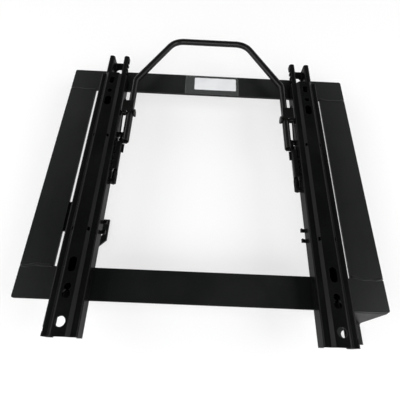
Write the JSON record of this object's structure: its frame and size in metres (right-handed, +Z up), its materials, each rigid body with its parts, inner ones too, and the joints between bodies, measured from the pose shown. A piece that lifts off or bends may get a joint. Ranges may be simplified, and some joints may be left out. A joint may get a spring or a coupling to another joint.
{
  "type": "sliding seat bracket",
  "caption": "Flat welded steel seat base on bent legs, with ball bearing slide rails, toothed latches and a towel bar release handle.",
  "frame": {"origin": "on the floor, under the middle of the whole bracket's bounding box", "axes": "+Z up, +Y towards the seat's front, where the towel bar is, and +X to the right when looking forwards"},
  "size_m": [0.48, 0.5158, 0.074],
  "materials": {
    "frame_paint": "satin",
    "rail_paint": "gloss",
    "handle_paint": "gloss",
    "latch_steel": "satin",
    "plated_steel": "satin",
    "ball_steel": "polished",
    "spring_steel": "satin",
    "cage_plastic": "matte"
  },
  "bodies": {
    "base": {"front_crossbar": "frame_paint", "rear_crossbar": "frame_paint", "left_side_plate": "frame_paint", "right_side_plate": "frame_paint", "left_front_leg": "frame_paint", "right_front_leg": "frame_paint", "left_rear_leg": "frame_paint", "right_rear_leg": "frame_paint", "rail_bolts": "plated_steel", "rail_washers": "plated_steel", "rail_nuts": "plated_steel", "left_lower_rail": "rail_paint", "right_lower_rail": "rail_paint"},
    "carriage": {"left_upper_rail": "rail_paint", "right_upper_rail": "rail_paint", "left_pivot_pin": "latch_steel", "right_pivot_pin": "latch_steel", "left_handle_spring": "spring_steel", "right_handle_spring": "spring_steel", "left_hinge_lugs": "latch_steel", "right_hinge_lugs": "latch_steel", "left_hinge_rod": "latch_steel", "right_hinge_rod": "latch_steel", "left_latch_spring": "spring_steel", "right_latch_spring": "spring_steel"},
    "left_bearings": {"left_bearing_balls": "ball_steel", "left_ball_cages": "cage_plastic"},
    "right_bearings": {"right_bearing_balls": "ball_steel", "right_ball_cages": "cage_plastic"},
    "handle": {"handle_tube": "handle_paint", "left_handle_plate": "handle_paint", "right_handle_plate": "handle_paint"},
    "left_latch": {"left_latch": "latch_steel"},
    "right_latch": {"right_latch": "latch_steel"}
  },
  "joints": [
    {"name": "seat_slide", "type": "slide", "parent": "base", "child": "carriage", "axis": [0, 1, 0], "range_m": [-0.02, 0.13]},
    {"name": "left_ball_roll", "type": "slide", "parent": "base", "child": "left_bearings", "axis": [0, 1, 0], "range_m": [-0.01, 0.065]},
    {"name": "right_ball_roll", "type": "slide", "parent": "base", "child": "right_bearings", "axis": [0, 1, 0], "range_m": [-0.01, 0.065]},
    {"name": "handle_hinge", "type": "hinge", "parent": "carriage", "child": "handle", "pos_m": [0, 0.07712, 0.061], "axis": [1, 0, 0], "range_deg": [-2, 2.4], "stiffness_Nm_per_rad": 12, "springref_deg": -11.46},
    {"name": "left_latch_hinge", "type": "hinge", "parent": "carriage", "child": "left_latch", "pos_m": [-0.1357, -0.00588, 0.051], "axis": [0, 1, 0], "range_deg": [-10, 12]},
    {"name": "right_latch_hinge", "type": "hinge", "parent": "carriage", "child": "right_latch", "pos_m": [0.1357, -0.00588, 0.051], "axis": [0, 1, 0], "range_deg": [-12, 10]}
  ],
  "couplings": [
    {"joint": "left_ball_roll", "follows": "seat_slide", "ratio": 0.5},
    {"joint": "right_ball_roll", "follows": "seat_slide", "ratio": 0.5},
    {"joint": "left_latch_hinge", "follows": "handle_hinge", "ratio": 5},
    {"joint": "right_latch_hinge", "follows": "handle_hinge", "ratio": -5}
  ]
}
